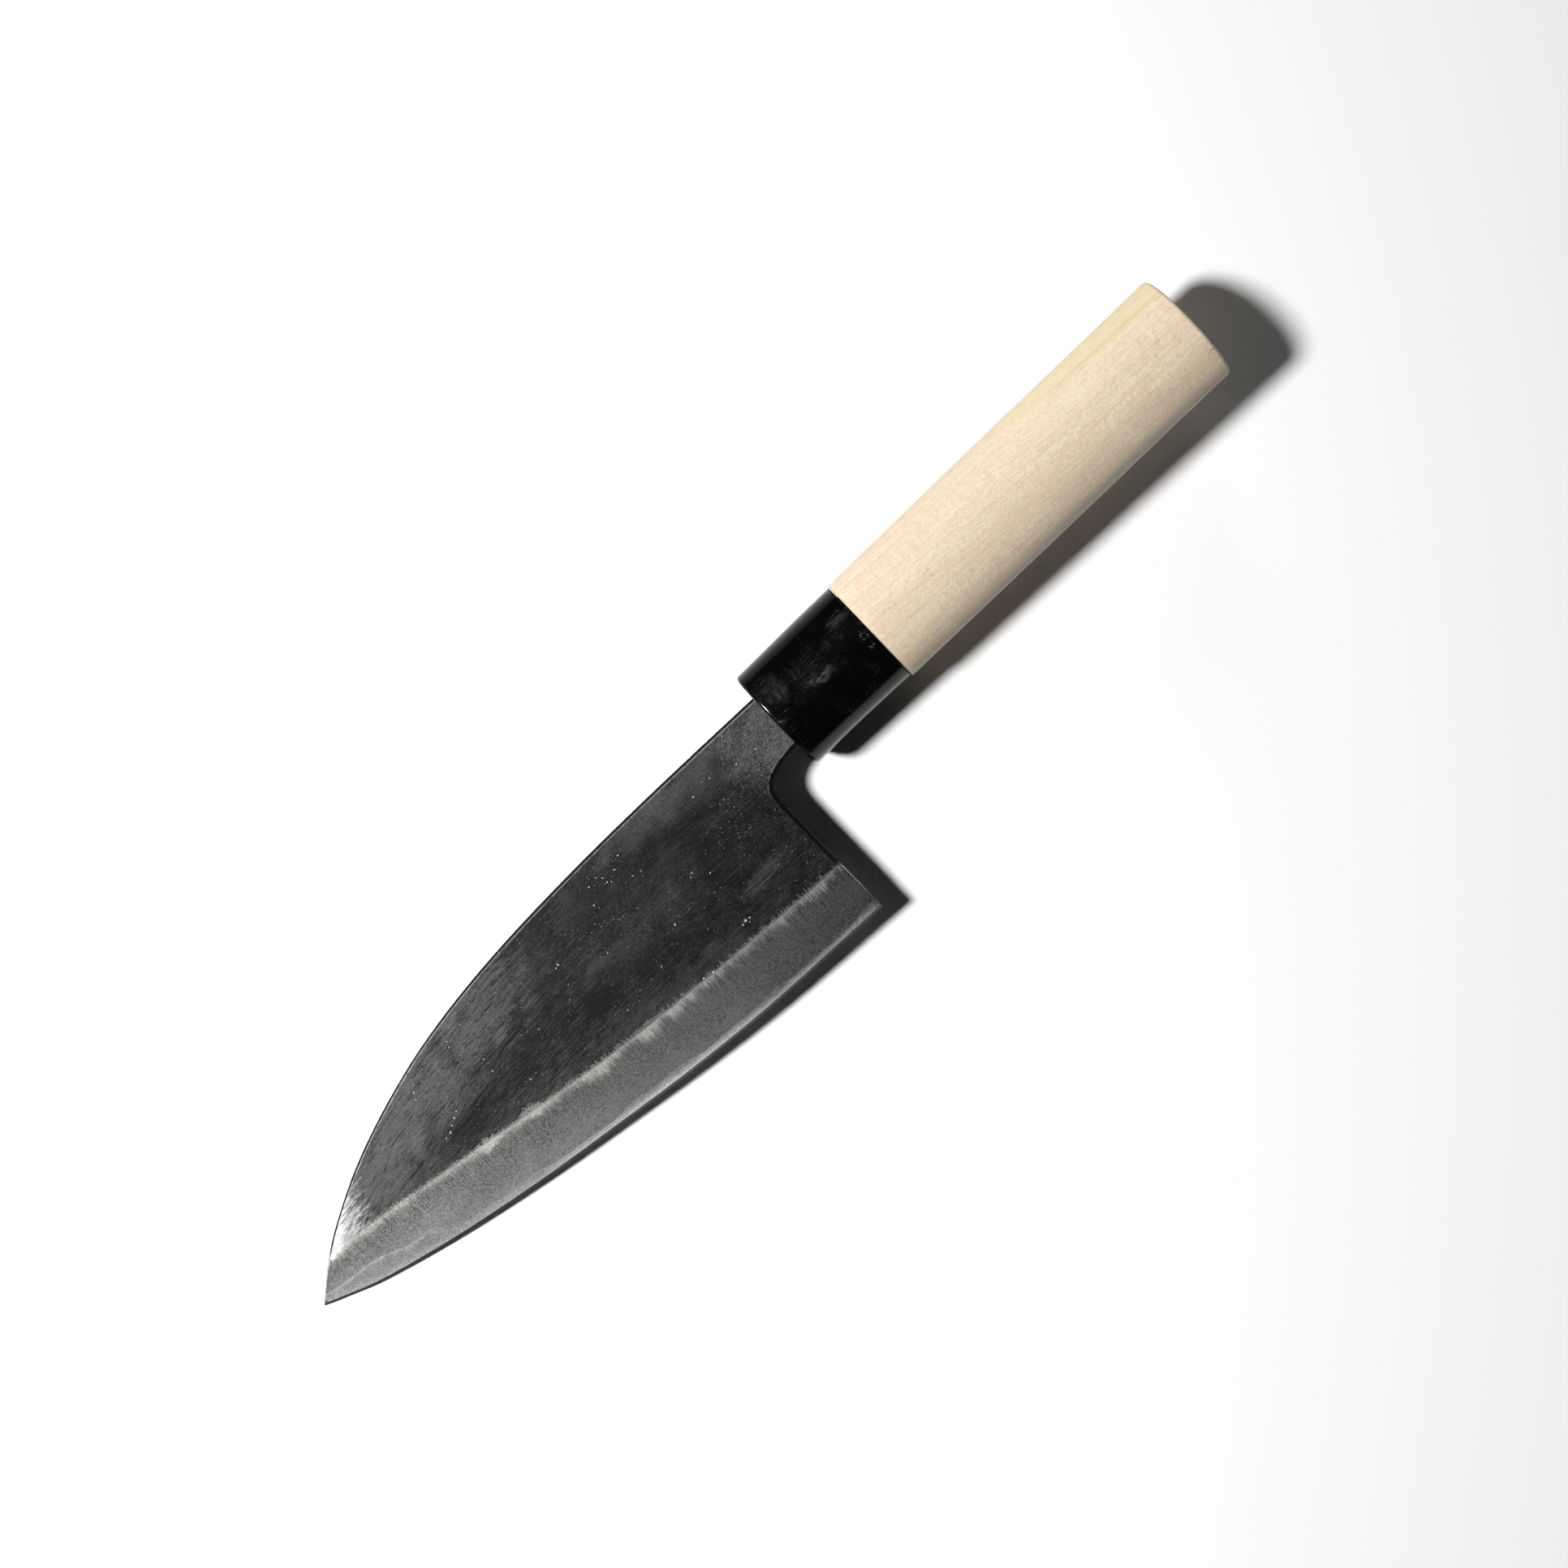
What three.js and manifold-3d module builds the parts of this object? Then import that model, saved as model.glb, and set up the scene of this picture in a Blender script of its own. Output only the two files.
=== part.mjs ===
// Japanese black-forged boning knife: a laminated blade with a hidden tang, a black
// ferrule and an oval wooden handle. It lies on its right face on a table.
// Each piece is drawn in the knife's own axes, in mm, with the origin on the handle's
// axis at the front of the ferrule: +X to the tip, +Y to the cutting edge, +Z to the
// left face. The last group lays the knife down and centres it.
import * as THREE from 'three';
import { mergeVertices } from 'three/addons/utils/BufferGeometryUtils.js';
import Module from 'manifold-3d';

// Handle and ferrule. Radii are half widths from spine side to edge side.
const HANDLE_BACK = -122;
const JOINT_AT = -28;
const BUTT_RADIUS = 13.35;
const JOINT_RADIUS = 13.4;
const BUTT_ROUNDING = 0.9;
const FERRULE_BACK_RADIUS = 12.95;
const FERRULE_FRONT_RADIUS = 12.7;
const FERRULE_ROUNDING = 0.8;
const TENON_RADIUS = 10.2;
const TENON_RECESS = 0.5;
const FLATTENING = 0.77;
const SQUARENESS = 2.15;
const FIT_GAP = 0.15;
const ROUND_STEPS = 72;

// Blade and tang.
const TIP_AT = 161;
const TANG_BACK = -78;
const TANG_END_HALF_HEIGHT = 3.2;
const NECK_HALF_HEIGHT = 7.1;
const NECK_HALF_THICKNESS = 2.05;
const TANG_END_HALF_THICKNESS = 1.1;
const THINNING_TO_TIP = 0.006;
const THINNING_TO_EDGE = 0.014;
const EDGE_HALF_THICKNESS = 0.15;
const CHOIL_CHAMFER = 0.9;
const SPINE_CHAMFER = 0.35;
const CORE_HALF_THICKNESS = 0.4;
const WELD_GAP = 0.06;
const SLOT_CLEARANCE = 0.3;

// Outlines seen on the left face, each a smooth curve through a few points.
const SPINE = curve([0, -7], [30, -7.35], [55, -7.1], [80, -5.8], [101, -3.1], [118, 1],
  [134, 6.7], [147.5, 13.6], [155.5, 19.2], [162, 25]);
const EDGE = curve([-6, 45.2], [11, 45.05], [42, 44.3], [63.5, 42.75], [85, 40.3],
  [106.5, 37.5], [128, 33.8], [146.5, 29.5], [155.5, 26.4], [161, 24.2], [166, 21.6]);
const BEVEL_TOP = curve([-6, 32.6], [12, 32.2], [42, 30.8], [78, 27.7], [113.5, 22.4],
  [134, 19.3], [150, 17.3], [168, 15.4]);
const NECK_TO_HEEL = [[-3, 7.2], [0.5, 7.3], [4.4, 7.65], [8.2, 8.6], [10.3, 10.2],
  [11.1, 12.8], [11.2, 20], [11.25, 30], [11.1, 48]];

const wasm = await Module();
wasm.setup();

function curve(...points) {
  return new THREE.SplineCurve(points.map(([x, y]) => new THREE.Vector2(x, y)));
}

// The curve's y at a given x. Every curve here runs steadily towards the tip.
function heightAt(line, x) {
  let low = 0;
  let high = 1;
  for (let step = 0; step < 40; step += 1) {
    const middle = (low + high) / 2;
    if (line.getPoint(middle).x < x) low = middle;
    else high = middle;
  }
  return line.getPoint(low).y;
}

function toSolid(geometry) {
  const bare = geometry.index ? geometry.clone() : geometry;
  bare.deleteAttribute('normal');
  bare.deleteAttribute('uv');
  const merged = mergeVertices(bare, 1e-4);
  return new wasm.Manifold(new wasm.Mesh({
    numProp: 3,
    vertProperties: new Float32Array(merged.attributes.position.array),
    triVerts: new Uint32Array(merged.index.array),
  }));
}

function toGeometry(solid) {
  const mesh = solid.getMesh();
  const geometry = new THREE.BufferGeometry();
  geometry.setAttribute('position', new THREE.BufferAttribute(mesh.vertProperties, 3));
  geometry.setIndex(new THREE.BufferAttribute(mesh.triVerts, 1));
  return geometry;
}

// A closed skin over a row of matching convex rings, with flat ends.
function loft(rings) {
  const around = rings[0].length;
  const index = [];
  for (let ring = 0; ring + 1 < rings.length; ring += 1) {
    for (let side = 0; side < around; side += 1) {
      const here = ring * around + side;
      const next = ring * around + ((side + 1) % around);
      index.push(here, here + around, next, next, here + around, next + around);
    }
  }
  const last = (rings.length - 1) * around;
  for (let side = 1; side + 1 < around; side += 1) {
    index.push(0, side, side + 1, last, last + side + 1, last + side);
  }
  const geometry = new THREE.BufferGeometry();
  geometry.setAttribute('position', new THREE.Float32BufferAttribute(rings.flat(2), 3));
  geometry.setIndex(index);
  return geometry;
}

// Half the blade's thickness on its flat, where both faces thin to the tip and the edge.
function flatHalfThickness(x, y) {
  return NECK_HALF_THICKNESS - THINNING_TO_TIP * x - THINNING_TO_EDGE * (y + 7.4);
}

// One cross-section of the ground blade: flats from the spine, then bevels to the edge.
function bladeSection(x) {
  const top = heightAt(BEVEL_TOP, x);
  const edge = heightAt(EDGE, x);
  const spineHalf = flatHalfThickness(x, -16);
  const topHalf = flatHalfThickness(x, top);
  return [
    [x, -16, -spineHalf],
    [x, -16, spineHalf],
    [x, top, topHalf],
    [x, edge, EDGE_HALF_THICKNESS],
    [x, edge, -EDGE_HALF_THICKNESS],
    [x, top, -topHalf],
  ];
}

function tangSection(x, halfThickness) {
  return [
    [x, -16, -halfThickness],
    [x, -16, halfThickness],
    [x, 31, halfThickness],
    [x, 45, halfThickness],
    [x, 45, -halfThickness],
    [x, 31, -halfThickness],
  ];
}

function groundEnvelope() {
  const rings = [tangSection(TANG_BACK - 2, TANG_END_HALF_THICKNESS)];
  rings.push(tangSection(0, NECK_HALF_THICKNESS));
  for (let x = 3; x <= 163; x += 2.5) rings.push(bladeSection(x));
  return toSolid(loft(rings));
}

// A plate with the given outline whose rim is chamfered on both faces.
function chamferedPlate(points, chamfer) {
  const outline = new THREE.Shape(points.map((point) => new THREE.Vector2(point.x, point.y)));
  const half = NECK_HALF_THICKNESS + 0.02;
  const plate = new THREE.ExtrudeGeometry(outline, {
    depth: 2 * (half - chamfer),
    bevelThickness: chamfer,
    bevelSize: chamfer,
    bevelOffset: -chamfer,
    bevelSegments: 1,
    curveSegments: 1,
  });
  plate.translate(0, 0, chamfer - half);
  return toSolid(plate);
}

// The plate that gives the choil, the neck's underside and the tang's underside.
function undersidePlate() {
  const line = curve(...NECK_TO_HEEL).getPoints(40);
  const tangEnd = new THREE.Vector2(TANG_BACK, TANG_END_HALF_HEIGHT);
  const far = [[TIP_AT + 4, 60], [TIP_AT + 4, -30], [TANG_BACK, -30]];
  const rest = far.map(([x, y]) => new THREE.Vector2(x, y));
  const corner = new THREE.Vector2(11.1, 60);
  return chamferedPlate([tangEnd, ...line, corner, ...rest], CHOIL_CHAMFER);
}

// The plate that gives the spine and the tang's upper side.
function spinePlate() {
  const line = SPINE.getPoints(90);
  const tangEnd = new THREE.Vector2(TANG_BACK, -TANG_END_HALF_HEIGHT);
  const far = [[TIP_AT + 4, 60], [TANG_BACK, 60]];
  const rest = far.map(([x, y]) => new THREE.Vector2(x, y));
  return chamferedPlate([tangEnd, ...line, ...rest].reverse(), SPINE_CHAMFER);
}

function layer(blade, bottom, top) {
  const slice = new THREE.BoxGeometry(400, 200, top - bottom);
  slice.translate(0, 0, (top + bottom) / 2);
  return toGeometry(blade.intersect(toSolid(slice)));
}

// Turns a round lathe body about Y into an oval body along X.
function makeOval(geometry) {
  const position = geometry.attributes.position;
  for (let i = 0; i < position.count; i += 1) {
    const along = position.getY(i);
    const wide = position.getX(i);
    const deep = position.getZ(i);
    const radius = Math.hypot(wide, deep);
    const power = SQUARENESS;
    const sum = Math.abs(wide) ** power + Math.abs(deep) ** power;
    const stretch = radius > 0 ? radius / sum ** (1 / power) : 1;
    position.setXYZ(i, along, wide * stretch, -deep * stretch * FLATTENING);
  }
  return geometry;
}

function lathe(profile) {
  const points = profile.map(([along, radius]) => new THREE.Vector2(radius, along));
  return makeOval(new THREE.LatheGeometry(points, ROUND_STEPS));
}

// Points of a quarter round from angle a to angle b, in degrees.
function arc(x, radius, size, a, b, steps) {
  const points = [];
  for (let step = 0; step <= steps; step += 1) {
    const angle = THREE.MathUtils.degToRad(a + ((b - a) * step) / steps);
    points.push([x + size * Math.cos(angle), radius + size * Math.sin(angle)]);
  }
  return points;
}

function ferruleGeometry() {
  const front = arc(-FERRULE_ROUNDING, FERRULE_FRONT_RADIUS - FERRULE_ROUNDING,
    FERRULE_ROUNDING, 90, 0, 5);
  const bore = TENON_RADIUS + FIT_GAP;
  const profile = [
    [JOINT_AT, bore],
    [JOINT_AT, FERRULE_BACK_RADIUS - 0.15],
    [JOINT_AT + 0.15, FERRULE_BACK_RADIUS],
    ...front,
    [0, bore + 0.3],
    [-0.3, bore],
    [JOINT_AT, bore],
  ];
  return lathe(profile);
}

function woodSolid() {
  const butt = arc(HANDLE_BACK + BUTT_ROUNDING, BUTT_RADIUS - BUTT_ROUNDING,
    BUTT_ROUNDING, 180, 90, 5);
  const shoulder = JOINT_AT - FIT_GAP;
  const profile = [
    [HANDLE_BACK, 0],
    ...butt,
    [shoulder - 0.25, JOINT_RADIUS],
    [shoulder, JOINT_RADIUS - 0.25],
    [shoulder, TENON_RADIUS],
    [-TENON_RECESS - 0.3, TENON_RADIUS],
    [-TENON_RECESS, TENON_RADIUS - 0.3],
    [-TENON_RECESS, 0],
  ];
  return toSolid(lathe(profile));
}

// The burnt-in slot for the tang, open at the front of the tenon.
function tangSlot() {
  const ring = (x, high, thick) => [[x, -high, -thick], [x, -high, thick], [x, high, thick],
    [x, high, -thick]];
  const clear = SLOT_CLEARANCE;
  const back = ring(TANG_BACK - 1, TANG_END_HALF_HEIGHT + clear, TANG_END_HALF_THICKNESS + clear);
  const front = ring(2, NECK_HALF_HEIGHT + 0.2 + clear, NECK_HALF_THICKNESS + 0.05 + clear);
  return toSolid(loft([back, front]));
}

function part(name, geometry, look) {
  const mesh = new THREE.Mesh(geometry, new THREE.MeshStandardMaterial(look));
  mesh.name = name;
  return mesh;
}

const blade = groundEnvelope().intersect(undersidePlate()).intersect(spinePlate());
const inner = CORE_HALF_THICKNESS;
const outer = CORE_HALF_THICKNESS + WELD_GAP;
const forgeScale = { color: 0x3a3a3b, roughness: 0.5, metalness: 0.8 };
const steel = { color: 0xa9a9aa, roughness: 0.35, metalness: 1 };
const black = { color: 0x0d0d0e, roughness: 0.15, metalness: 0 };
const wood = { color: 0xe8d4b4, roughness: 0.6, metalness: 0 };

const knife = new THREE.Group();
knife.add(part('left_cladding', layer(blade, outer, 6), forgeScale));
knife.add(part('core_steel', layer(blade, -inner, inner), steel));
knife.add(part('right_cladding', layer(blade, -6, -outer), forgeScale));
knife.add(part('ferrule', ferruleGeometry(), black));
knife.add(part('handle', toGeometry(woodSolid().subtract(tangSlot())), wood));

// At rest the tip and the ferrule's front rim touch the table, and the butt is raised.
const ferruleHalfDepth = FERRULE_FRONT_RADIUS * FLATTENING;
knife.rotation.y = Math.asin(ferruleHalfDepth / TIP_AT);

const row = new THREE.Group();
row.add(knife);
row.updateMatrixWorld(true);
const box = new THREE.Box3().setFromObject(knife, true);
const centre = box.getCenter(new THREE.Vector3());
knife.position.set(-centre.x, -centre.y, -box.min.z);

export default row;
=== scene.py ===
import math

import bmesh
import bpy
import numpy as np
from mathutils import Matrix, Vector
from mathutils.geometry import delaunay_2d_cdt


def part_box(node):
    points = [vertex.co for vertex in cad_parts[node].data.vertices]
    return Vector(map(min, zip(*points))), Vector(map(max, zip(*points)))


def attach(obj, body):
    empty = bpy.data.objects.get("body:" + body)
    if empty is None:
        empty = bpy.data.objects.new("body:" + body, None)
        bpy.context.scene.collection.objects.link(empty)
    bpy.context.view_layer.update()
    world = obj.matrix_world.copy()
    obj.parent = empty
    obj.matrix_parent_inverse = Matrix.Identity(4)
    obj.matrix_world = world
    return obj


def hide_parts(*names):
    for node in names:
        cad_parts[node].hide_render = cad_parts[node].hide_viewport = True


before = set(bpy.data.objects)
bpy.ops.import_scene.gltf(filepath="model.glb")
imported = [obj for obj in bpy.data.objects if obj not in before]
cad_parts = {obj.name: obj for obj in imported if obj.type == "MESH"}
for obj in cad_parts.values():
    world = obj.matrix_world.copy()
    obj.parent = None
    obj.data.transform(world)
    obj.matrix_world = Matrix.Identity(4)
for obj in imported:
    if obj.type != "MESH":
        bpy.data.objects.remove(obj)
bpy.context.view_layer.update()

# Knife axes, in mm: origin on the handle's axis at the ferrule's front, +X to the tip,
# +Y to the cutting edge, +Z to the left face. The same numbers as the CAD model.
MM = 0.001
HANDLE_BACK, JOINT_AT = -122.0, -28.0
BUTT_RADIUS, JOINT_RADIUS, BUTT_ROUNDING = 13.35, 13.4, 0.9
FERRULE_BACK_RADIUS, FERRULE_FRONT_RADIUS, FERRULE_ROUNDING = 12.95, 12.7, 0.8
TENON_RADIUS, TENON_RECESS = 10.2, 0.5
BORE_GAP, FERRULE_BACK_ROUNDING = 0.15, 0.22
# The handle's section: its height over its width, and the power of its oval.
FLATTENING, SQUARENESS = 0.77, 2.15
# Half height and half thickness of the tang's slot in front, and what they lose to its end.
SLOT_FRONT, SLOT_TAPER = (7.55, 2.3), (4.0, 0.9)
TANG_BACK, HEEL_AT, TIP_AT = -78.0, 11.1, 161.0
# Half thickness of the core steel.
CORE_HALF = 0.4
# Half thickness at the neck's spine, which is BACK_Y from the axis, and how it thins per mm
# to the tip, to the edge and along the tang.
HALF_THICK, BACK_Y = 2.05, 7.4
TO_TIP, TO_EDGE, TANG_TAPER = 0.006, 0.014, 0.0122
# The narrow second bevel: its width, and the half thickness at the edge and gained over it.
MICRO_WIDE, MICRO_LOW, MICRO_RISE = 0.55, 0.04, 0.22
# The last of the flat falls away from this point, towards the spine and the tip.
FALL_AT, FALL_WAY, FALL_SLOPE = (139.5, 9.0), (0.68, -0.74), 0.06
# The knife lies on its tip and the rim of its ferrule.
PITCH = math.asin(FERRULE_FRONT_RADIUS * FLATTENING / TIP_AT)
SPINE = ((0, -7), (30, -7.35), (55, -7.1), (80, -5.8), (101, -3.1), (118, 1), (134, 6.7),
         (147.5, 13.6), (155.5, 19.2), (162, 25))
EDGE = ((-6, 45.2), (11, 45.05), (42, 44.3), (63.5, 42.75), (85, 40.3), (106.5, 37.5),
        (128, 33.8), (146.5, 29.5), (155.5, 26.4), (161, 24.2), (166, 21.6))
RIDGE = ((-6, 32.6), (12, 32.2), (42, 30.8), (78, 27.7), (113.5, 22.4), (134, 19.3),
         (150, 17.3), (168, 15.4))
NECK = ((-3, 7.2), (0.5, 7.3), (4.4, 7.65), (8.2, 8.6), (10.3, 10.2), (11.1, 12.8),
        (11.2, 20), (11.25, 30), (11.1, 48))
# Width of the steel that shows along the edge, at a few places.
STEEL_BAND = [(8, 1.9), (60, 2.1), (110, 2.2), (127, 2.6), (132, 4.3), (137, 4.0), (143, 4.6),
              (152, 4.4), (158, 3.0), (162, 2.0)]


def catmull(points, step):
    """Points about a step apart on a Catmull-Rom curve through the given ones."""
    p = [np.array(q, float) for q in points]
    out = []
    for i in range(len(p) - 1):
        a, b, c, d = p[max(i - 1, 0)], p[i], p[i + 1], p[min(i + 2, len(p) - 1)]
        n = max(2, int(np.linalg.norm(c - b) / step))
        for k in range(n):
            t = k / n
            out.append(0.5 * (2 * b + (c - a) * t + (2 * a - 5 * b + 4 * c - d) * t * t
                              + (3 * b - 3 * c + d - a) * t ** 3))
    out.append(p[-1])
    return np.array(out)


class Line:
    """A curve that runs steadily along X, read as y at x."""

    def __init__(self, points):
        self.pts = catmull(points, 0.4)

    def __call__(self, x):
        return np.interp(x, self.pts[:, 0], self.pts[:, 1])


def trace(curve, a, b, n):
    """n points of a curve from x = a to x = b."""
    x = np.linspace(a, b, n)
    return np.stack([x, curve(x)], 1)


spine_at, edge_at, ridge_at = Line(SPINE), Line(EDGE), Line(RIDGE)
band_at = Line(STEEL_BAND)


def smooth(x, a, b):
    t = np.clip((x - a) / (b - a), 0, 1)
    return t * t * (3 - 2 * t)


def wave(seed, x, y, sizes):
    """Soft, repeatable unevenness: a few crossing sine waves."""
    rng = np.random.default_rng(seed)
    total = np.zeros_like(x)
    for size in sizes:
        a = rng.uniform(0, math.pi)
        ph = rng.uniform(0, 2 * math.pi)
        total += np.sin((x * math.cos(a) + y * math.sin(a)) * 2 * math.pi / size + ph)
    return total / len(sizes)


def lam_at(x):
    """The line where the core steel comes out of the cladding, wavy from forging."""
    x = np.asarray(x, float)
    wobble = 0.35 * np.sin(x / 5.3) + 0.25 * np.sin(x / 2.1 + 1) + 0.2 * np.sin(x / 11 + 2)
    return edge_at(x) - np.clip(band_at(x) + wobble, 0.9, 6)


def face(x, y, seed):
    """Height of a blade face over the middle plane, before its rim is rounded."""
    x, y = np.asarray(x, float), np.asarray(y, float)
    xa = np.maximum(x, 0)
    plain = HALF_THICK - TO_TIP * xa - TO_EDGE * (y + BACK_Y) * smooth(x, -6, 4)
    plain = plain + TANG_TAPER * np.minimum(x, 0)
    r, e = ridge_at(x), edge_at(x)
    top = HALF_THICK - TO_TIP * xa - TO_EDGE * (r + BACK_Y)
    t = np.clip((y - r) / np.maximum(e - MICRO_WIDE - r, 0.1), 0, 1)
    bevel = top + (MICRO_LOW + MICRO_RISE - top) * t
    micro = MICRO_LOW + MICRO_RISE * np.clip((e - y) / MICRO_WIDE, 0, 1)
    bevel = np.where(y > e - MICRO_WIDE, micro, bevel)
    dent = 0.035 * wave(seed, x, y, (34, 23, 17, 12)) + 0.012 * wave(seed + 9, x, y, (8, 6, 5))
    dent = dent * smooth(r - y, 0, 4) * smooth(x, 2, 9)
    z = np.where((y > r) & (x > 5), bevel, plain + dent)
    fall = (x - FALL_AT[0]) * FALL_WAY[0] + (y - FALL_AT[1]) * FALL_WAY[1]
    z = z - FALL_SLOPE * np.maximum(fall, 0) * (y < r + 0.001)
    return np.maximum(z, 0.05)


# Lightness of the forge scale: its darkest, its lightest and where nothing has changed it.
DARKEST, LIGHTEST, PLAIN_SCALE = -0.3, 1.7, -0.17
# How it varies over each face, in mm: x, y, half length, half height, strength. The broad light
# patches over the front half are painted sheen, standing in for the key light reflecting there;
# the rest is the scale's own uneven tone.
TONE_AND_SHEEN = {
    1: ((2, 1, 14, 9, 0.9), (4, 5.5, 6.5, 3.4, 0.3), (25, -5.5, 27, 6.5, 0.5),
        (52, 10, 17, 9, 0.08), (15.5, 1.2, 3.5, 1.6, 0.3), (90, 0, 16, 11, 0.5),
        (112, 4, 19, 10, 0.66), (132, 12, 15, 8, 0.78), (112, 12.5, 14, 2.4, 0.25),
        (15, -2.6, 2.6, 1.7, -0.4), (70, 17.5, 4.5, 3.5, -0.2), (107, 18.0, 9, 3.5, -0.18),
        (128, 15.0, 8, 2.6, -0.12), (103, 2, 7, 5, -0.22), (26, -6.2, 2, 0.9, -0.35)),
    2: ((6, 2, 12, 9, 0.7), (50, -4, 22, 6, 0.4), (95, 2, 22, 8, 0.6), (128, 11, 18, 8, 0.7),
        (32, 16, 10, 7, -0.2), (66, 8, 7, 4, -0.25), (104, 16, 10, 4, -0.3)),
}
# Small pits in the scale: x, y and radius in mm.
PITS = {
    1: ((34.9, 26.5, 0.55), (35.9, 26.9, 0.34), (33.8, 26.7, 0.36), (34.4, 27.4, 0.26),
        (36.1, 11.0, 0.42), (36.9, 11.6, 0.26), (33.2, 13.8, 0.30), (46.6, 16.6, 0.40),
        (45.2, -2.8, 0.34), (47.9, -1.1, 0.34), (51.0, -1.6, 0.36), (52.0, -2.6, 0.28),
        (50.8, -0.2, 0.32), (50.1, 0.4, 0.26), (54.5, -2.2, 0.30), (56.5, 1.4, 0.36),
        (45.9, 2.6, 0.34), (71.2, 5.2, 0.45), (72.0, 5.6, 0.30), (55.0, 21.2, 0.30),
        (24.5, -0.6, 0.36), (12.9, 0.7, 0.36), (19.1, -1.2, 0.28), (93.0, 19.2, 0.40),
        (84.0, 12.6, 0.30), (61.5, 11.0, 0.28), (47.7, 29.8, 0.30), (50.2, 29.4, 0.34),
        (109.8, 13.0, 0.30), (111.2, 13.7, 0.42), (112.6, 14.6, 0.40), (113.9, 15.5, 0.42),
        (115.5, 15.9, 0.30), (112.6, 2.4, 0.26), (113.7, 3.6, 0.30), (114.5, 5.0, 0.30),
        (100.6, 0.6, 0.30), (101.1, 1.9, 0.24), (97.4, 9.0, 0.30), (97.8, 12.2, 0.30),
        (7.6, 1.2, 0.34), (20.1, 4.4, 0.26), (21.3, 4.6, 0.24), (67.0, 23.0, 0.26)),
    2: ((22, 6, 0.4), (23, 6.6, 0.26), (40, 20, 0.42), (61, -1, 0.34), (74, 14, 0.45),
        (75, 13.2, 0.26), (88, 4, 0.34), (99, 21, 0.3), (117, 9, 0.38), (52, 11, 0.3)),
}
# Scuffed scale, and places where the grinding ran over the ridge: x, y, half length, half
# height and slope.
SCUFFS = {
    1: ((25.2, 22.3, 7.6, 2.3, 0.05), (30.9, 22.8, 1.7, 0.22, 0.02),
        (18.1, -2.4, 0.14, 2.6, 0.0)),
    2: ((58, 18, 9, 2.6, -0.08), (18, 25, 4, 1.2, 0.1)),
}
GROUND = {
    1: ((97.5, 24.4, 2.6, 2.3, -0.12), (66, 28.9, 6, 1.2, -0.1), (109.2, 23.4, 3.2, 1.8, -0.15)),
    2: ((44, 30.2, 6, 1.4, -0.05), (112, 22.8, 6, 1.5, -0.15)),
}


def tone_and_sheen_at(x, y, side):
    """How light the forge scale is, before its fine texture: its own uneven tone, plus painted
    sheen over the front half.
    """
    total = np.full_like(x, PLAIN_SCALE)
    for cx, cy, rx, ry, much in TONE_AND_SHEEN[side]:
        size = np.hypot((x - cx) / rx, (y - cy) / ry) + 0.15 * wave(side + 30, x, y, (9, 6, 4))
        total += much * smooth(-size, -1.2, -0.3)
    # Grinding dust and wear lighten the last stretch before the ridge.
    return total + 0.22 * smooth(y - ridge_at(x), -9, -1.5) * smooth(x, 22, 42)


def pit_reach(r, turn, i):
    """How far the rim of a side's pit number i lies from its middle, in each direction."""
    return r * (1 + 0.22 * np.sin(2 * turn + i) + 0.12 * np.sin(3 * turn + 2 * i))


def pit_shape(x, y, side):
    """How far inside a pit each point lies, 0 at its rim and 1 in its middle, and how deep."""
    inside_by = np.zeros_like(x)
    depth = np.zeros_like(x)
    for i, (cx, cy, r) in enumerate(PITS[side]):
        turn = np.arctan2(y - cy, x - cx)
        t = 1 - np.hypot(x - cx, y - cy) / pit_reach(r, turn, i)
        inside_by = np.maximum(inside_by, t)
        t = np.clip(t, 0, 1)
        depth = np.maximum(depth, 0.3 * r * (t * (2 - t)) ** 2)
    return inside_by, depth


def pit_lines(side):
    """Rings of points that carry each pit's shape."""
    out = []
    turn = np.linspace(0, 2 * math.pi, 11)[:-1]
    for i, (cx, cy, r) in enumerate(PITS[side]):
        reach = pit_reach(r, turn, i)
        for share in (1.15, 0.98, 0.66, 0.33):
            ring = np.stack([cx + reach * share * np.cos(turn),
                             cy + reach * share * np.sin(turn)], 1)
            out.append(np.vstack([ring, ring[:1]]))
    return out


def resample(pts, step):
    """The same polyline with its points a step apart."""
    s = np.r_[0, np.cumsum(np.linalg.norm(np.diff(pts, axis=0), axis=1))]
    n = max(2, int(round(s[-1] / step)) + 1)
    u = np.linspace(0, s[-1], n)
    return np.stack([np.interp(u, s, pts[:, 0]), np.interp(u, s, pts[:, 1])], 1)


def distance_to(line, xy):
    """Shortest distance from each point to a polyline."""
    a, b = line[:-1], line[1:]
    d = b - a
    best = np.full(len(xy), 1e9)
    for i in range(0, len(xy), 2000):
        p = xy[i:i + 2000, None, :]
        t = np.clip(((p - a) * d).sum(-1) / np.maximum((d * d).sum(-1), 1e-12), 0, 1)
        best[i:i + 2000] = np.linalg.norm(p - a - t[..., None] * d, axis=-1).min(1)
    return best


# ---------------------------------------------------------------- blade outline

def blade_lines():
    """The blade's outline as three polylines: spine side, cutting edge, choil side."""
    xs = np.linspace(150, 165, 3001)
    tip_x = xs[np.argmin(np.abs(spine_at(xs) - edge_at(xs)))]
    tip = np.array([tip_x, edge_at(tip_x)])
    top = catmull(SPINE, 0.3)
    top = np.vstack([[TANG_BACK, -3.2], top[top[:, 0] < tip_x - 0.05], tip])
    edge = trace(edge_at, tip_x, HEEL_AT, 900)
    neck = catmull(NECK, 0.25)[::-1]
    neck = neck[neck[:, 1] < edge_at(HEEL_AT) - 0.05]
    neck = np.vstack([edge[-1], neck, [TANG_BACK, 3.2]])
    return top, edge, neck


TOP_LINE, EDGE_LINE, NECK_LINE = blade_lines()


def spine_round(x):
    """Radius of the rounded spine, in mm."""
    return np.interp(x, [-10, 60, 120, 150, 158, 162], [0.52, 0.52, 0.48, 0.42, 0.2, 0.1])


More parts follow.
